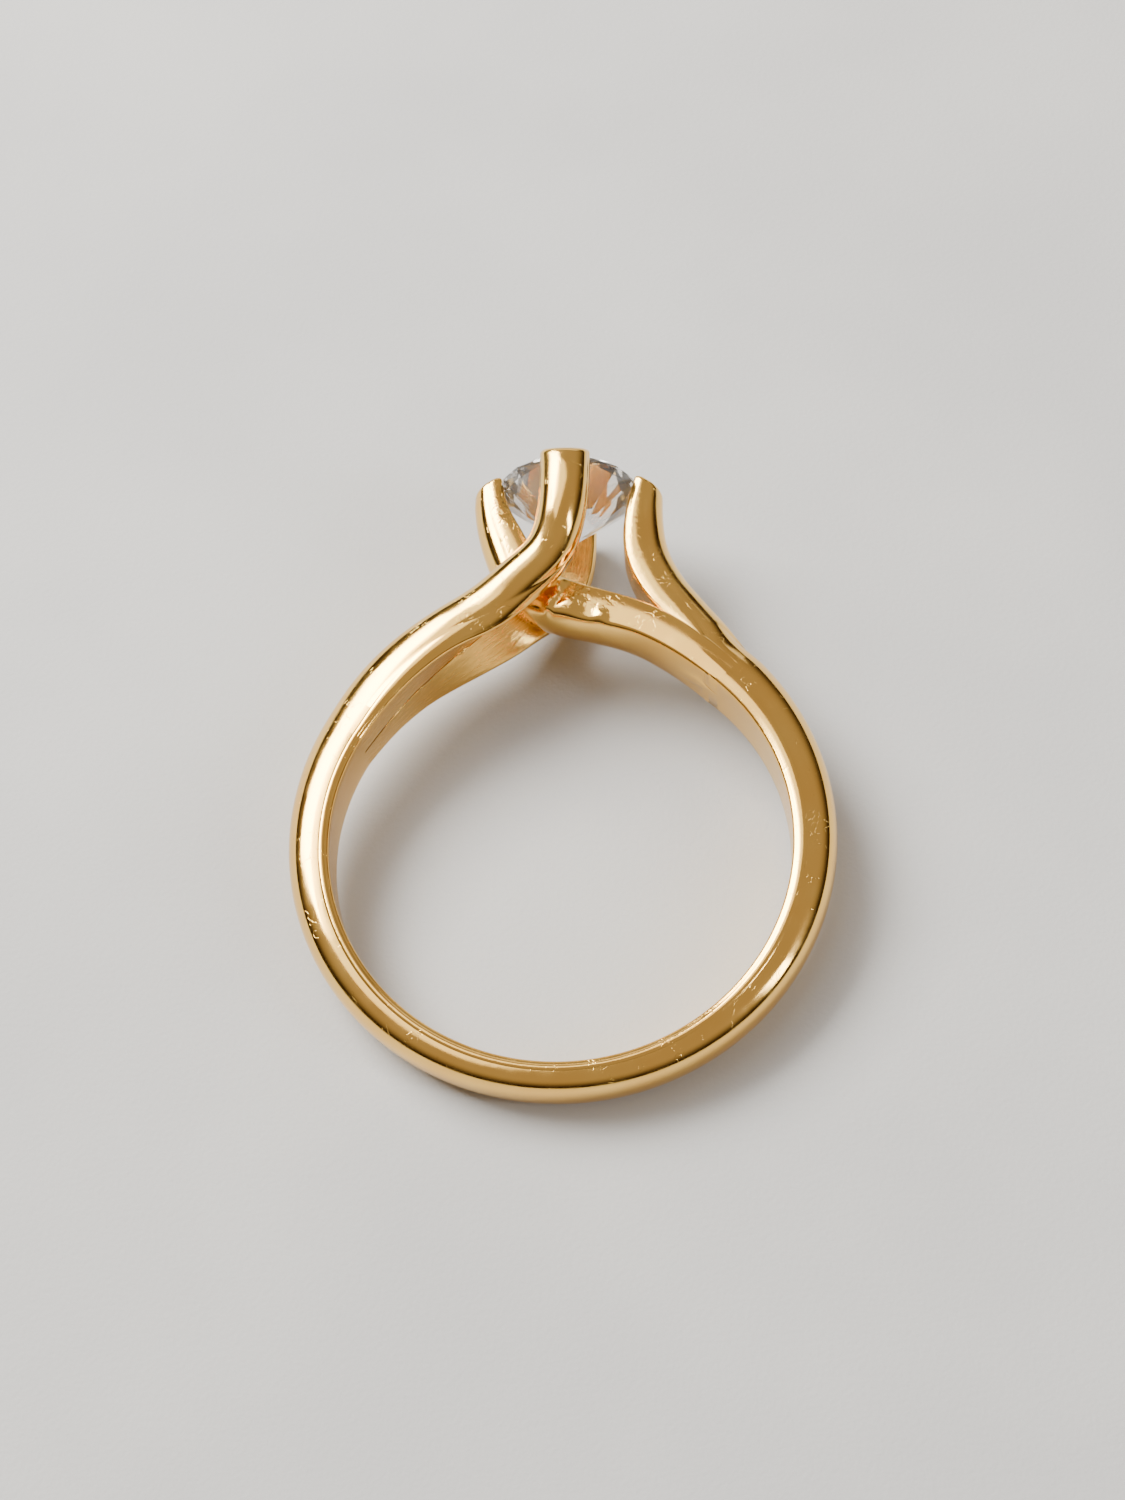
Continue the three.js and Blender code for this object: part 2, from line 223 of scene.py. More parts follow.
def half_dome_points(width, thickness, side):
    """The left half of a dome of twice the width, moved to the middle."""
    p0, p1, p2, p3 = dome_points(2 * width, thickness, side)
    p01, p12, p23 = (p0 + p1) / 2, (p1 + p2) / 2, (p2 + p3) / 2
    p012, p123 = (p01 + p12) / 2, (p12 + p23) / 2
    return np.array([(p012 + p123) / 2, p123, p23, p3]) + (width / 2, 0)


def outline(width, dome, edges):
    """A bar's outline, anticlockwise from its lower left corner: points (across, out).

    edges is how round it is at its lower left, lower right, upper right and upper left."""
    half = width / 2
    lower = ((-half, 1, math.pi, edges[0]), (half, -1, 1.5 * math.pi, edges[1]))
    arcs = []
    for edge, inward, start, r in lower:
        a = start + np.linspace(0, math.pi / 2, CORNER_STEPS)
        arcs.append(np.stack([edge + inward * r + r * np.cos(a), r + r * np.sin(a)], 1))
    length = np.linalg.norm(np.diff(dome, axis=0), axis=1).sum()
    right_share, left_share = (min(FILLET_REACH * r / length, FILLET_SHARE) for r in edges[2:])
    first, last = bezier(dome, [right_share, 1 - left_share])
    right_top, left_top = dome[0], dome[3]
    drop_right = vec(0, min(edges[2], FILLET_DROP * right_top[1]))
    drop_left = vec(0, min(edges[3], FILLET_DROP * left_top[1]))
    turn = np.linspace(0, 1, CORNER_STEPS)[:, None]

    def fillet(a, corner, b):
        return (1 - turn) ** 2 * a + 2 * turn * (1 - turn) * corner + turn**2 * b

    def between(a, b, count, crown):
        t = np.linspace(0, 1, count + 2)[1:-1, None]
        outward = unit(vec(b[1] - a[1], a[0] - b[0]))
        crown *= smoothstep(np.linalg.norm(b - a), 0, CROWN_SPAN)
        return a + (b - a) * t + outward * crown * 4 * t * (1 - t)

    right = fillet(right_top - drop_right, right_top, first)
    left = fillet(last, left_top, left_top - drop_left)
    top = bezier(dome, np.linspace(right_share, 1 - left_share, DOME_STEPS + 2)[1:-1])
    return np.vstack([
        arcs[0],
        between(arcs[0][-1], arcs[1][0], FLAT_STEPS, 0),
        arcs[1],
        between(arcs[1][-1], right[0], SIDE_STEPS, SIDE_CROWN),
        right,
        top,
        left,
        between(left[-1], arcs[0][0], SIDE_STEPS, SIDE_CROWN),
    ])


AROUND = 4 * CORNER_STEPS + FLAT_STEPS + 2 * SIDE_STEPS + DOME_STEPS
FINGER_SIDE = (CORNER_STEPS / AROUND, (CORNER_STEPS + FLAT_STEPS) / AROUND)  # its share of v
DOME_START = (2 * CORNER_STEPS + FLAT_STEPS + SIDE_STEPS) / AROUND
DOME_SIDE = (DOME_START, DOME_START + (2 * CORNER_STEPS + DOME_STEPS) / AROUND)

# ---- Meshes ----


def make_mesh(name, points, faces, corners):
    """A mesh with a map of (millimetres along / 10, share of the way round) at each corner."""
    mesh = bpy.data.meshes.new(name)
    mesh.from_pydata([tuple(p) for p in points], [], faces)
    layer = mesh.uv_layers.new(name="grain")
    layer.uv.foreach_set("vector", np.array(corners, np.float32).ravel())
    bm = bmesh.new()
    bm.from_mesh(mesh)
    if bm.calc_volume(signed=True) < 0:
        bmesh.ops.reverse_faces(bm, faces=bm.faces)
    bm.to_mesh(mesh)
    bm.free()
    return mesh


def skin(name, rings):
    """A closed bar over rings of points, with a fan over each end."""
    count, around = len(rings), len(rings[0])
    centres = np.array([r.mean(0) for r in rings])
    run = np.concatenate([[0], np.cumsum(np.linalg.norm(np.diff(centres, axis=0), axis=1))]) / 10
    points = np.vstack([*rings, centres[:1], centres[-1:]])
    faces, corners = [], []
    for i in range(count - 1):
        this, following = i * around, (i + 1) * around
        for j in range(around):
            k = (j + 1) % around
            faces.append((this + j, this + k, following + k, following + j))
            v0, v1 = j / around, (j + 1) / around
            corners += [(run[i], v0), (run[i], v1), (run[i + 1], v1), (run[i + 1], v0)]
    for row, tip in ((0, count * around), (count - 1, count * around + 1)):
        for j in range(around):
            k = (j + 1) % around
            pair = (row * around + j, row * around + k)
            faces.append((*(pair if row else pair[::-1]), tip))
            v0, v1 = j / around, (j + 1) / around
            shares = (v0, v1, v0) if row else (v1, v0, v0)
            corners += [(run[row], v) for v in shares]
    return make_mesh(name, points, faces, corners)


def trim_height(xy):
    """Height of the prongs' tops: level to just past the girdle, then falling away outside."""
    flat = STONE_RADIUS + TIP_FLAT
    slope = TIP_SLANT / (PRONG_CENTRE + PRONG_THICKNESS / 2 - flat)
    beyond = np.maximum(np.linalg.norm(xy, axis=-1) - flat, 0)
    return TIP_HEIGHT - slope * beyond**2 / (beyond + TIP_BEND)


def finish_tip(rings):
    """Brings the last rings up to the prong's top, rounds its edge and closes it."""
    heights = np.array([r[:, 2].mean() for r in rings])
    base = int(np.argmax(heights > TIP_HEIGHT - TIP_REACH))
    low, high = rings[base][:, 2], rings[-1][:, 2]
    goal = trim_height(rings[-1][:, :2]) - TIP_ROUND
    for ring in rings[base:]:
        ring[:, 2] = low + (ring[:, 2] - low) * (goal - low) / (high - low)
    wall = rings[-1]
    chord = unit(np.roll(wall, -1, 0) - np.roll(wall, 1, 0))
    inward = unit(np.cross(vec(0, 0, 1), chord))
    middle = wall.mean(0)
    inward *= np.sign(((middle - wall) * inward).sum(1).mean())
    for turn in np.linspace(0, math.pi / 2, CORNER_STEPS + 2)[1:]:
        ring = wall + inward * TIP_ROUND * (1 - math.cos(turn))
        ring[:, 2] = trim_height(ring[:, :2]) - TIP_ROUND * (1 - math.sin(turn))
        rings.append(ring)
    rim = rings[-1]
    for share in TIP_RINGS:
        ring = middle + (rim - middle) * share
        ring[:, 2] = trim_height(ring[:, :2])
        rings.append(ring)
    return rings


def arm_rings(stations, edges, extra=0.0, tip=True):
    """Rings along an arm. edges gives how round its edges are at a share of its length, and
    extra grows it on all sides, for the room another arm leaves it."""
    soft = {}
    for key in ("at", "out", "size", "shape"):
        start = stations[0]["along"] if key == "at" else None
        rows = curve([s[key] for s in stations], FIRST_STEPS, start)
        soft[key] = softened(rows, STATION_BLEND)
    run = np.concatenate([[0], np.cumsum(np.linalg.norm(np.diff(soft["at"], axis=0), axis=1))])
    even = np.linspace(0, run[-1], BAR_STEPS + 1)
    even_rows = {key: np.stack([np.interp(even, run, c) for c in rows.T], 1)
                 for key, rows in soft.items()}
    centres = even_rows["at"]
    along = unit(np.gradient(centres, axis=0))
    turn = smoothstep(np.arange(len(along)), 0, ROOT_BLEND)[:, None]
    along = unit(stations[0]["along"] * (1 - turn) + along * turn)
    if extra:
        centres[0] -= extra * along[0]
    rows = zip(centres, along, even_rows["out"], even_rows["size"], even_rows["shape"])
    rings = []
    for k, (centre, travel, out, (wide, thick), (flat, half)) in enumerate(rows):
        rounds = edges(k / BAR_STEPS)
        out = unit(out - travel * out.dot(travel))
        across = np.cross(out, travel)
        width, thickness, side = wide + 2 * extra, thick + 2 * extra, flat * thick + extra
        full = outline(width, dome_points(width, thickness, side), rounds)
        share = min(max(half, 0), 1)
        if share > 0:
            split = outline(width, half_dome_points(width, thickness, side), rounds)
            full = full * (1 - share) + split * share
        rings.append(centre + full[:, :1] * across + (full[:, 1:] - thickness / 2) * out)
    return finish_tip(rings) if tip else rings


def station(at, out, wide, thick, flat, half=0.0, along=None):
    """One station of an arm: its middle, its domed face's direction, its width and thickness,
    the share of the thickness that its sides are flat for, how far its dome is the left half
    of a wider one, and at a root the arm's direction."""
    return {"at": at, "out": out, "size": vec(wide, thick), "shape": vec(flat, half), "along": along}


def aside(x, z):
    return vec(x, 0, z)


def blend(low, high, x, start, end):
    return low + (high - low) * smoothstep(x, start, end)


def band_size(degrees):
    """The band's width, thickness and height of its flat sides."""
    from_palm = 180 - abs(degrees)
    grow = min(from_palm / GROWN_AT, 1) ** GROW_POWER
    side_at_fork = FORK_DEPTH if degrees > 0 else SIDE_FLAT
    return (blend(PALM_WIDTH, SHOULDER_WIDTH, from_palm, *WIDENS),
            PALM_THICKNESS + (SHOULDER_THICKNESS - PALM_THICKNESS) * grow,
            SIDE_FLAT + (side_at_fork - SIDE_FLAT) * grow)


def band_outline(degrees):
    width, thickness, side = band_size(degrees)
    edges = (EDGE_ROUND, EDGE_ROUND, BAND_FILLET, BAND_FILLET)
    return outline(width, dome_points(width, thickness, side), edges)


def shank(name, fork):
    """Half of the band, from the palm to its fork."""
    rings = []
    for degrees in np.linspace(math.copysign(180, fork), fork, SHANK_STEPS + 1):
        out = over_finger(degrees, 0) / FINGER_RADIUS
        shape = band_outline(degrees)
        rings.append(out * (FINGER_RADIUS + shape[:, 1:]) + shape[:, :1] * vec(0, 1, 0))
    return skin(name, rings)


def flush_at_fork(rings):
    """Keeps the first rings of a branch of the right fork inside the band's own outline."""
    shape = band_outline(RIGHT_FORK)
    edge = shape[shape[:, 0] > 0]
    edge = edge[np.argsort(edge[:, 1])]
    for k, ring in enumerate(rings[:FLUSH_RINGS]):
        rise = np.hypot(ring[:, 0], ring[:, 2]) - FINGER_RADIUS
        limit = np.interp(rise, edge[:, 1], edge[:, 0])
        over = np.maximum(np.abs(ring[:, 1]) - limit, 0)
        ring[:, 1] -= np.sign(ring[:, 1]) * over * (1 - smoothstep(k, 0, FLUSH_RINGS))
    return rings


def solder_lumps(rings):
    """Raises the rough solder beside the crossing, on the front and rear sides of the left arm."""
    chance = np.random.default_rng(7)
    start, end = SOLDER_LINE
    along = np.linspace(0, 1, SOLDER_LUMPS)[:, None]
    spots = np.array(start) + (np.array(end) - np.array(start)) * along
    spots += chance.normal(0, SOLDER_SCATTER, spots.shape)
    lumps = [(x, z, chance.uniform(*LUMP_REACH), chance.uniform(*LUMP_HEIGHT)) for x, z in spots]
    lumps += SOLDER_BEADS
    for ring in rings:
        rise = np.zeros(len(ring))
        for x, z, reach, height in lumps:
            far = ((ring[:, 0] - x) ** 2 + (ring[:, 2] - z) ** 2) / (2 * reach**2)
            rise = np.maximum(rise, height * np.exp(-far))
        side = np.abs(ring[:, 1])
        ring[:, 1] += np.sign(ring[:, 1]) * rise * smoothstep(side, *SOLDER_FROM)
    return rings


# How round an arm's edges are, at a share of its length, in the order that outline takes.


def right_edges(share):
    fillet = blend(BAND_FILLET, ARM_FILLET, share, 0, 0.35)
    return EDGE_ROUND, EDGE_ROUND, fillet, fillet


def left_edges(share):
    corner = blend(JOINT_EDGE, EDGE_ROUND, share, 0, 0.2)
    return corner, corner, EDGE_ROUND, EDGE_ROUND


def front_edges(share):
    fillet = blend(BAND_FILLET, ARM_FILLET, share, 0, 0.45)
    parted = smoothstep(share, 0, 0.35)
    return (EDGE_ROUND, JOINT_EDGE + (EDGE_ROUND - JOINT_EDGE) * parted,
            JOINT_EDGE + (ARM_FILLET - JOINT_EDGE) * parted, fillet)


# The stations of each arm, from its fork to its prong's top.


def right_arm():
    width, thickness, side = band_size(RIGHT_FORK)
    outwards = over_finger(RIGHT_FORK, 0) / FINGER_RADIUS
    sunk = FORK_DEPTH / 2
    root = thickness - sunk
    low, high = GIRDLE_HEIGHT - 2.9, GIRDLE_HEIGHT - 1.5
    return [
        station(over_finger(RIGHT_FORK, sunk + root / 2), outwards,
                width, root, (side - sunk) / root, along=towards_stone(RIGHT_FORK)),
        station(over_finger(33, 1.72), aside(0.62, 0.78), 2.25, 1.65, 0.45),
        station(over_finger(25.5, 2.22), aside(0.76, 0.65), 2.05, 1.75, 0.55),
        station(over_finger(19, 2.95), aside(0.88, 0.47), 1.95, 1.8, 0.6),
        station(aside(PRONG_CENTRE - 0.05, low), aside(0.99, 0.1), 1.9, 1.75, 0.6),
        station(aside(PRONG_CENTRE - 0.16, high), aside(1, -0.05), 1.85, 1.5, 0.6),
        station(aside(PRONG_CENTRE, TIP_HEIGHT), aside(1, -0.1), PRONG_WIDTH, PRONG_THICKNESS, 0.6),
    ]


def left_arm():
    width, _, _ = band_size(RIGHT_FORK)
    inwards = -over_finger(RIGHT_FORK, 0) / FINGER_RADIUS
    low, high = GIRDLE_HEIGHT - 2.75, GIRDLE_HEIGHT - 1.1
    thick = UNDER_THICKNESS
    return [
        station(over_finger(RIGHT_FORK, FORK_DEPTH / 2), inwards,
                width, FORK_DEPTH, 1, along=towards_stone(RIGHT_FORK)),
        station(over_finger(30, 0.7), aside(-0.5, -0.87), 2.35, 1.4, 0.88),
        station(over_finger(18, 0.98), aside(-0.27, -0.96), 2.15, thick, 0.86),
        station(over_finger(8, 1.15), aside(-0.22, -0.98), UNDER_WIDTH, 1.1 * thick, 0.82),
        station(over_finger(-1.5, 1.5), aside(-0.42, -0.9), UNDER_WIDTH, 1.2 * thick, 0.78),
        station(over_finger(-8.5, 2.42), aside(-0.68, -0.73), UNDER_WIDTH, 1.2 * thick, 0.7),
        station(aside(-PRONG_CENTRE + 0.75, low), aside(-0.85, -0.5), 1.95, 1.75, 0.62),
        station(aside(-PRONG_CENTRE + 0.14, high), aside(-0.98, -0.15), 1.85, 1.35, 0.6),
        station(aside(-PRONG_CENTRE, TIP_HEIGHT), aside(-1, 0.06), PRONG_WIDTH, PRONG_THICKNESS, 0.6),
    ]


def front_arm():
    width, thickness, side = band_size(LEFT_FORK)
    outwards = over_finger(LEFT_FORK, 0) / FINGER_RADIUS
    under, low, high = GIRDLE_HEIGHT - 3.7, GIRDLE_HEIGHT - 2.55, GIRDLE_HEIGHT - 1.2

    def beside(degrees, inside, thick, wide):
        return over_finger(degrees, inside + thick / 2, -(SLIT + wide) / 2)

    return [
        station(over_finger(LEFT_FORK, thickness / 2, -width / 4), outwards,
                width / 2, thickness, side / thickness, 1, towards_stone(LEFT_FORK)),
        station(beside(-50, 0, 2.1, 1.38), vec(-0.76, -0.02, 0.65), 1.38, 2.1, 0.4, 0.85),
        station(beside(-39, 0.12, 2.05, 1.62), vec(-0.63, -0.12, 0.77), 1.62, 2.05, 0.42, 0.6),
        station(beside(-28, 0.33, 1.85, 1.95), vec(-0.45, -0.28, 0.85), 1.95, 1.85, 0.45, 0.3),
        station(beside(-18, 0.68, 1.75, 2.1), vec(-0.3, -0.55, 0.8), 2.1, 1.75, 0.5, 0.1),
        station(over_finger(-9.5, 2.22, -1.72), vec(-0.25, -0.95, 0.45), 1.95, 1.5, 0.5),
        station(vec(-0.6, -0.74 * PRONG_CENTRE, under), vec(-0.1, -1, 0), 1.8, 1.3, 0.5),
        station(vec(-0.12, -PRONG_CENTRE + 0.26, low), vec(0, -1, -0.25), 1.78, 1.25, 0.5),
        station(vec(0, -PRONG_CENTRE, high), vec(0, -1, -0.06), PRONG_WIDTH, 1.2, 0.55),
        station(vec(0, -PRONG_CENTRE, TIP_HEIGHT), vec(0, -1, 0), PRONG_WIDTH, PRONG_THICKNESS, 0.6),
    ]


# ---- The stone ----


def facet_planes():
    """Each facet of a round brilliant as (a point in it, its outward direction).

    A turn is a sixteenth of the stone, and a share is of its radius."""
    top, bottom = GIRDLE_HEIGHT + HALF_GIRDLE, GIRDLE_HEIGHT - HALF_GIRDLE
    crown, pavilion = CROWN_SHARE * STONE_DIAMETER, PAVILION_SHARE * STONE_DIAMETER
    sixteenth = math.pi / 8
    star_reach = (TABLE_SHARE * math.cos(sixteenth) + 1) / 2
    star_fall = (star_reach * math.cos(sixteenth) - TABLE_SHARE) / (1 - TABLE_SHARE)
    half_reach = 1 - LOWER_HALF_SHARE
    star_height = top + crown * (1 - star_fall)
    half_height = bottom - pavilion * (1 - half_reach * math.cos(sixteenth))

    def at(turn, share, z):
        a = turn * sixteenth
        return vec(share * STONE_RADIUS * math.sin(a), share * STONE_RADIUS * math.cos(a), z)

    middle = vec(0, 0, GIRDLE_HEIGHT)
    culet = vec(0, 0, bottom - pavilion)
    planes = [(vec(0, 0, top + crown), vec(0, 0, 1))]
    for k in range(0, 16, 2):
        star = at(k, star_reach, star_height)
        half = at(k, half_reach, half_height)
        table = [at(j, TABLE_SHARE, top + crown) for j in (k - 1, k + 1)]
        facets = (
            (table[1], star, at(k + 1, 1, top)),
            (table[0], table[1], star),
            (star, at(k, 1, top), at(k + 1, 1, top)),
            (star, at(k, 1, top), at(k - 1, 1, top)),
            (culet, half, at(k + 1, 1, bottom)),
            (half, at(k, 1, bottom), at(k + 1, 1, bottom)),
            (half, at(k, 1, bottom), at(k - 1, 1, bottom)),
        )
        for a, b, c in facets:
            normal = unit(np.cross(b - a, c - a))
            planes.append((a, normal * math.copysign(1, (a - middle).dot(normal))))
    return planes


def stone_mesh(name, extra=0.0):
    """A round block, cut once along each facet's plane."""
    bm = bmesh.new()
    height = 2 * STONE_DIAMETER
    bmesh.ops.create_cone(bm, cap_ends=True, segments=GIRDLE_SIDES, radius1=STONE_RADIUS + extra,
                          radius2=STONE_RADIUS + extra, depth=height,
                          matrix=Matrix.Translation((0, 0, GIRDLE_HEIGHT)))
    for point, normal in facet_planes():
        everything = [*bm.verts, *bm.edges, *bm.faces]
        cut = bmesh.ops.bisect_plane(bm, geom=everything, dist=1e-6, plane_co=point + normal * extra,
                                     plane_no=normal, clear_outer=True)
        rim = [e for e in cut["geom_cut"] if isinstance(e, bmesh.types.BMEdge)]
        if len(rim) > 2:
            bmesh.ops.contextual_create(bm, geom=rim)
    bmesh.ops.remove_doubles(bm, verts=bm.verts, dist=1e-5)
    bmesh.ops.recalc_face_normals(bm, faces=bm.faces)
    for face in bm.faces:
        girdle = abs(face.normal.z) < 0.02
        face.smooth = girdle
        face.material_index = int(girdle)
    for edge in bm.edges:
        edge.smooth = all(f.smooth for f in edge.link_faces)
    mesh = bpy.data.meshes.new(name)
    bm.to_mesh(mesh)
    bm.free()
    return mesh


# ---- Cutting and placing ----


def add(name, mesh):
    obj = bpy.data.objects.new(name, mesh)
    bpy.context.scene.collection.objects.link(obj)
    return obj


def cut_away(obj, mesh):
    """Takes the mesh's volume out of obj."""
    cutter = add("cutter", mesh)
    modifier = obj.modifiers.new("cut", "BOOLEAN")
    modifier.operation = "DIFFERENCE"
    modifier.solver = "EXACT"
    modifier.object = cutter
    bpy.context.view_layer.update()
    depsgraph = bpy.context.evaluated_depsgraph_get()
    made = bpy.data.meshes.new_from_object(obj.evaluated_get(depsgraph))
    obj.modifiers.clear()
    obj.data = made
    bpy.data.objects.remove(cutter)


def shade(mesh):
    """Smooth shading, broken along the sharp edges."""
    bm = bmesh.new()
    bm.from_mesh(mesh)
    for face in bm.faces:
        face.smooth = True
    for edge in bm.edges:
        edge.smooth = len(edge.link_faces) == 2 and edge.calc_face_angle(0) < math.radians(SHARP_EDGE)
    bm.to_mesh(mesh)
    bm.free()


def place(obj, node, slot, *materials):
    """Lays the upright piece down on its CAD node's place."""
    obj.data.transform(PLACE @ Matrix.Scale(MM, 4))
    obj.data.materials.clear()
    for material in materials:
        obj.data.materials.append(material)
    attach(obj, "root")
    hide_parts(node)


# ---- Materials ----


class Nodes:
    """Short names for making a material's nodes."""

    def __init__(self, name):
        self.material = bpy.data.materials.new(name)
        self.material.use_nodes = True
        self.tree = self.material.node_tree
        self.shader = self.tree.nodes["Principled BSDF"]

    def add(self, kind, **values):
        node = self.tree.nodes.new(kind)
        for key, value in values.items():
            if key[0].islower():
                setattr(node, key, value)
            else:
                node.inputs[key.replace("_", " ")].default_value = value
        return node

    def link(self, source, target):
        self.tree.links.new(source, target)

    def math(self, operation, a, b=0.0):
        node = self.add("ShaderNodeMath", operation=operation)
        for socket, value in zip(node.inputs, (a, b)):
            if isinstance(value, (int, float)):
                socket.default_value = value
            else:
                self.link(value, socket)
        return node.outputs[0]

    def ramp(self, value, low, high, start=0.0, end=1.0):
        node = self.add("ShaderNodeMapRange", From_Min=low, From_Max=high, To_Min=start, To_Max=end)
        node.interpolation_type = "SMOOTHSTEP"
        self.link(value, node.inputs["Value"])
        return node.outputs[0]

    def window(self, value, low, high, before, after):
        """1 from low to high, with soft steps that start before and end after them."""
        rise = self.ramp(value, low - before, low + after)
        fall = self.ramp(value, high + before, high - after)
        return self.math("MULTIPLY", rise, fall)

    def mixed(self, factor, a, b):
        node = self.add("ShaderNodeMix", data_type="RGBA")
        self.link(factor, node.inputs["Factor"])
        node.inputs["A"].default_value, node.inputs["B"].default_value = a, b
        return node.outputs["Result"]

    def noise(self, vector, scale, detail=2.0, rough=0.5):
        node = self.add("ShaderNodeTexNoise", Scale=scale, Detail=detail, Roughness=rough)
        self.link(vector, node.inputs["Vector"])
        return node.outputs["Fac"]

    def stretch(self, vector, scale):
        node = self.add("ShaderNodeMapping", Scale=scale)
        self.link(vector, node.inputs["Vector"])
        return node.outputs[0]

    def bump(self, height, distance, strength, normal=None):
        node = self.add("ShaderNodeBump", Distance=distance, Strength=strength)
        self.link(height, node.inputs["Height"])
        if normal:
            self.link(normal, node.inputs["Normal"])
        return node.outputs[0]


# Noise scales are per metre, or per 10 mm along a piece and per turn round it where the map
# "grain" is stretched. A bump is its distance in metres and its strength.
GOLD_DEEP = (0.92, 0.5, 0.11, 1)
GOLD_BRIGHT = (1.0, 0.67, 0.18, 1)
TONE_SCALE = 420
POLISHED = (0.07, 0.16)  # least and most rough
POLISH_SCALE = 900
WORN = (0.12, 0.3)  # the same where it is filed and worn
HAIRLINE_ROUGH = 0.05
HAIRLINE_STRETCH = (60, 900, 1)
STREAK_STRETCH = (9, 260, 1)
WAVE_SCALE = 650
PIT_SCALE = 3400
PIT_PATCHES = 700
SCRATCH_SCALE = 2600
SCRATCH_STRETCH = (1, 1, 0.35)
SCRATCH_WIDTH = 0.012  # of the noise's range
SCRATCH_PATCHES = 1300
WAVE_BUMP = (0.00002, 0.08)
HAIRLINE_BUMP = (0.000002, 0.35)
FILE_BUMP = (0.00002, 0.6)
PIT_BUMP = (-0.00006, 0.35)
SCRATCH_BUMP = (-0.000008, 0.5)
ROUGH_FADE = 0.12  # over which the rougher sides begin, in 10 mm

STONE_IOR = 1.9  # less than a diamond's 2.42, which looks too dark over a plain floor
STONE_CLEAR = 0.94  # the rest is a pale film
SMEAR_SCALE = 1500
SMEAR_ROUGH = 0.02

FLOOR_TONES = ((0.47, 0.475, 0.485, 1), (0.52, 0.525, 0.53, 1))
FLOOR_SCALE = 60
FLOOR_ROUGH = 0.85
FLOOR_GRAIN_SCALE = 5000
FLOOR_BUMP = (0.00005, 0.3)


def gold_material(name, finger_side, sides, sides_from=0.0):
    """Polished 18 carat gold. finger_side and sides: how much less polished they are, 0 to 1,
    the sides only from a number of millimetres along the piece."""
    n = Nodes(name)
    grain = n.add("ShaderNodeUVMap", uv_map="grain").outputs[0]
    body = n.add("ShaderNodeTexCoord").outputs["Object"]
    split = n.add("ShaderNodeSeparateXYZ")
    n.link(grain, split.inputs[0])
    along, round_share = split.outputs["X"], split.outputs["Y"]
    inner = n.math("MULTIPLY", n.window(round_share, *FINGER_SIDE, 0.06, 0.01), finger_side)
    outside = n.math("SUBTRACT", 1.0, n.window(round_share, *DOME_SIDE, 0.02, 0.03))
    begin = sides_from / 10
    reached = n.ramp(along, begin - 0.001, begin + ROUGH_FADE)
    beside = n.math("MULTIPLY", outside, n.math("MULTIPLY", reached, sides))

    tone = n.mixed(n.noise(body, TONE_SCALE, 3), GOLD_DEEP, GOLD_BRIGHT)
    n.link(tone, n.shader.inputs["Base Color"])
    n.shader.inputs["Metallic"].default_value = 1.0

    streaks = n.noise(n.stretch(grain, STREAK_STRETCH), 1.0, 4, 0.6)
    fine = n.noise(n.stretch(grain, HAIRLINE_STRETCH), 1.0, 3, 0.6)
    polish = n.ramp(n.noise(body, POLISH_SCALE, 4), 0.35, 0.75, *POLISHED)
    polish = n.math("ADD", polish, n.math("MULTIPLY", fine, HAIRLINE_ROUGH))
    worn = n.ramp(streaks, 0.3, 0.7, *WORN)
    keep = n.math("SUBTRACT", 1.0, inner)
    rough = n.math("ADD", n.math("MULTIPLY", polish, keep), n.math("MULTIPLY", worn, inner))
    n.link(rough, n.shader.inputs["Roughness"])

    waves = n.bump(n.noise(body, WAVE_SCALE, 1), *WAVE_BUMP)
    hair = n.bump(fine, *HAIRLINE_BUMP, waves)
    file_marks = n.bump(n.math("MULTIPLY", streaks, inner), *FILE_BUMP, hair)
    pits = n.ramp(n.noise(body, PIT_SCALE), 0.42, 0.75)
    pits = n.math("MULTIPLY", pits, n.ramp(n.noise(body, PIT_PATCHES), 0.4, 0.62))
    pitted = n.bump(n.math("MULTIPLY", pits, beside), *PIT_BUMP, file_marks)
    level = n.noise(n.stretch(body, SCRATCH_STRETCH), SCRATCH_SCALE, 1)
    off_line = n.math("ABSOLUTE", n.math("SUBTRACT", level, 0.5))
    scratch = n.ramp(off_line, 0.0, SCRATCH_WIDTH, 1, 0)
    scratch = n.math("MULTIPLY", scratch, n.ramp(n.noise(body, SCRATCH_PATCHES, 1), 0.55, 0.65))
    scratched = n.bump(n.math("MULTIPLY", scratch, keep), *SCRATCH_BUMP, pitted)
    n.link(scratched, n.shader.inputs["Normal"])
    return n.material


def diamond_material(name, roughness):
    n = Nodes(name)
    body = n.add("ShaderNodeTexCoord").outputs["Object"]
    n.shader.inputs["IOR"].default_value = STONE_IOR
    n.shader.inputs["Transmission Weight"].default_value = STONE_CLEAR
    n.shader.inputs["Base Color"].default_value = (1, 1, 1, 1)
    smear = n.ramp(n.noise(body, SMEAR_SCALE, 3), 0.45, 0.8, roughness, roughness + SMEAR_ROUGH)
    n.link(smear, n.shader.inputs["Roughness"])
    return n.material


def floor_material():
    n = Nodes("pale_floor")
    body = n.add("ShaderNodeTexCoord").outputs["Object"]
    tone = n.mixed(n.ramp(n.noise(body, FLOOR_SCALE, 5), 0.3, 0.7), *FLOOR_TONES)
    n.link(tone, n.shader.inputs["Base Color"])
    n.shader.inputs["Roughness"].default_value = FLOOR_ROUGH
    n.link(n.bump(n.noise(body, FLOOR_GRAIN_SCALE), *FLOOR_BUMP), n.shader.inputs["Normal"])
    return n.material


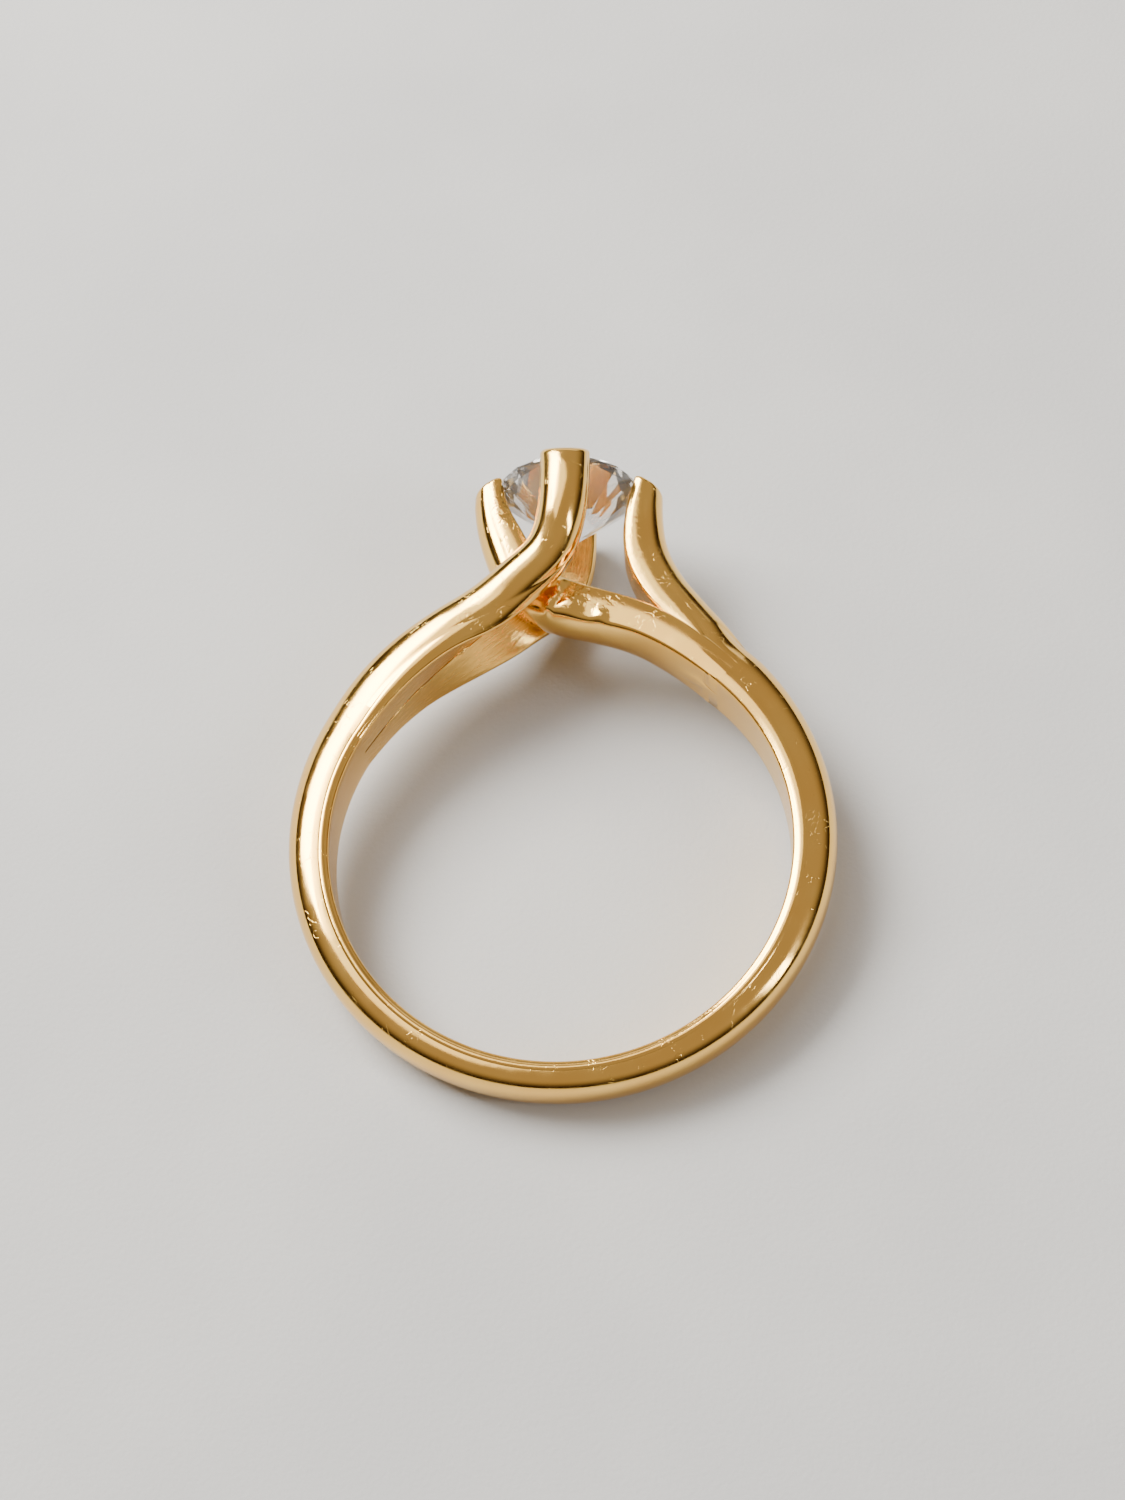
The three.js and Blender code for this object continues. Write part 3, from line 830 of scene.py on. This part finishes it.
band_gold = gold_material("polished_band_gold", 0.6, 0.15)
arm_gold = gold_material("polished_arm_gold", 1.0, 0.2)
cast_gold = gold_material("less_polished_arm_gold", 1.0, 1.0, 4.5)
clear = diamond_material("cut_diamond", 0.0)
bruted = diamond_material("bruted_girdle", 0.35)

# ---- The ring ----

for name, node, fork in (
    ("left_half_shank", "shank_left", LEFT_FORK),
    ("right_half_shank", "shank_right", RIGHT_FORK),
):
    piece = add(name, shank(name, fork))
    shade(piece.data)
    place(piece, node, "gold", band_gold)

room_rings = arm_rings(left_arm(), left_edges, SOLDER_GAP, tip=False)
left_room = skin("left_room", flush_at_fork(room_rings))
seat = stone_mesh("seat", SEAT_GAP)


def arm(name, node, rings, crosses, material):
    """One arm, cut for the stone's seat and, where it crosses the left arm, for that arm."""
    piece = add(name, skin(name, rings))
    if crosses:
        cut_away(piece, left_room)
    cut_away(piece, seat)
    shade(piece.data)
    place(piece, node, "gold", material)


front_rings = arm_rings(front_arm(), front_edges)
for ring in front_rings:
    ring[:, 1] = np.minimum(ring[:, 1], -SLIT / 2)
rear_rings = [ring * (1, -1, 1) for ring in front_rings]
right_rings = flush_at_fork(arm_rings(right_arm(), right_edges))
left_rings = solder_lumps(flush_at_fork(arm_rings(left_arm(), left_edges)))
arm("front_prong_arm", "arm_front_prong", front_rings, True, arm_gold)
arm("rear_prong_arm", "arm_rear_prong", rear_rings, True, arm_gold)
arm("right_prong_arm", "arm_right_prong", right_rings, True, arm_gold)
arm("left_prong_arm", "arm_left_prong", left_rings, False, cast_gold)

stone = add("round_brilliant", stone_mesh("round_brilliant"))
place(stone, "diamond", "diamond", clear, bruted)

# ---- Floor, light and camera ----

FLOOR_SIZE = 4.0  # metres
floor_mesh = bpy.data.meshes.new("floor")
half = FLOOR_SIZE / 2
corners = [(-half, -half, 0), (half, -half, 0), (half, half, 0), (-half, half, 0)]
floor_mesh.from_pydata(corners, [], [(0, 1, 2, 3)])
floor = add("floor", floor_mesh)
floor_mesh.materials.append(floor_material())


DIM_BELOW = (0.12, 0.72)  # sine of the elevation, between the dim and the full surroundings
ROOM_LOW = (0.05, 0.03, 0.015, 1)
ROOM_HIGH = (0.84, 0.7, 0.56, 1)
WALL = (0.72, 0.72, 0.72, 1)
ROOM_LIGHT = 0.58  # strength of the surroundings
SUN_FROM = (-120, 52)  # azimuth and elevation
SUN_POWER = 1.3
SUN_SPREAD = 30


def direction(azimuth, elevation):
    """From the ring towards something; azimuth 0 is the front and 90 the right."""
    a, e = math.radians(azimuth), math.radians(elevation)
    return Vector((math.sin(a) * math.cos(e), -math.cos(a) * math.cos(e), math.sin(e)))


def soft_box(name, azimuth, elevation, distance, width, height, power, colour):
    """A rectangular soft light that faces the ring. Degrees, millimetres and watts."""
    light = bpy.data.lights.new(name, "AREA")
    light.shape = "RECTANGLE"
    light.size, light.size_y = width * MM, height * MM
    light.energy = power
    light.color = colour
    obj = add(name, light)
    away = direction(azimuth, elevation)
    obj.location = away * distance * MM
    obj.rotation_euler = away.to_track_quat("Z", "Y").to_euler()


soft_box("window", -125, 44, 300, 210, 150, 2.3, (1.0, 0.97, 0.9))
soft_box("ceiling", -130, 73, 300, 220, 170, 0.22, (1.0, 0.99, 0.96))
soft_box("back", 180, 18, 350, 320, 150, 0.16, (1.0, 0.99, 0.97))
soft_box("fill", 70, 30, 350, 40, 160, 0.4, (0.97, 0.98, 1.0))

sun = bpy.data.lights.new("sun", "SUN")
sun.energy = SUN_POWER
sun.angle = math.radians(SUN_SPREAD)
sun.color = (1.0, 0.97, 0.92)
sun_object = add("sun", sun)
sun_object.rotation_euler = direction(*SUN_FROM).to_track_quat("Z", "Y").to_euler()


def studio():
    """Warm surroundings, dimmer towards the horizon. The camera itself sees a pale wall."""
    world = bpy.data.worlds.new("studio")
    world.use_nodes = True
    tree = world.node_tree
    make, link = tree.nodes.new, tree.links.new
    towards = make("ShaderNodeTexCoord")
    split = make("ShaderNodeSeparateXYZ")
    height = make("ShaderNodeMapRange")
    room = make("ShaderNodeMix")
    seen = make("ShaderNodeMix")
    path = make("ShaderNodeLightPath")
    link(towards.outputs["Generated"], split.inputs[0])
    link(split.outputs["Z"], height.inputs["Value"])
    height.interpolation_type = "SMOOTHSTEP"
    height.inputs["From Min"].default_value = DIM_BELOW[0]
    height.inputs["From Max"].default_value = DIM_BELOW[1]
    room.data_type = seen.data_type = "RGBA"
    room.inputs["A"].default_value = ROOM_LOW
    room.inputs["B"].default_value = ROOM_HIGH
    link(height.outputs[0], room.inputs["Factor"])
    seen.inputs["B"].default_value = WALL
    link(path.outputs["Is Camera Ray"], seen.inputs["Factor"])
    link(room.outputs["Result"], seen.inputs["A"])
    background = tree.nodes["Background"]
    link(seen.outputs["Result"], background.inputs["Color"])
    background.inputs["Strength"].default_value = ROOM_LIGHT
    return world


bpy.context.scene.world = studio()

CAMERA_AZIMUTH = 6.53
CAMERA_ELEVATION = 58.38
CAMERA_ROLL = -5.86
CAMERA_DISTANCE = 94.0
CAMERA_AIM = Vector((-0.22, 2.32, 0.0))  # millimetres, on the floor
LENS = 58.3
CLIP_START = 0.005  # metres

back = direction(CAMERA_AZIMUTH, CAMERA_ELEVATION)
level = direction(CAMERA_AZIMUTH + 90, 0)
facing = Matrix((level, back.cross(level), back)).transposed().to_4x4()
camera = add("camera", bpy.data.cameras.new("camera"))
camera.data.lens = LENS
camera.data.clip_start = CLIP_START
camera.matrix_world = (
    Matrix.Translation((CAMERA_AIM + back * CAMERA_DISTANCE) * MM)
    @ facing
    @ Matrix.Rotation(math.radians(CAMERA_ROLL), 4, "Z")
)
bpy.context.scene.camera = camera
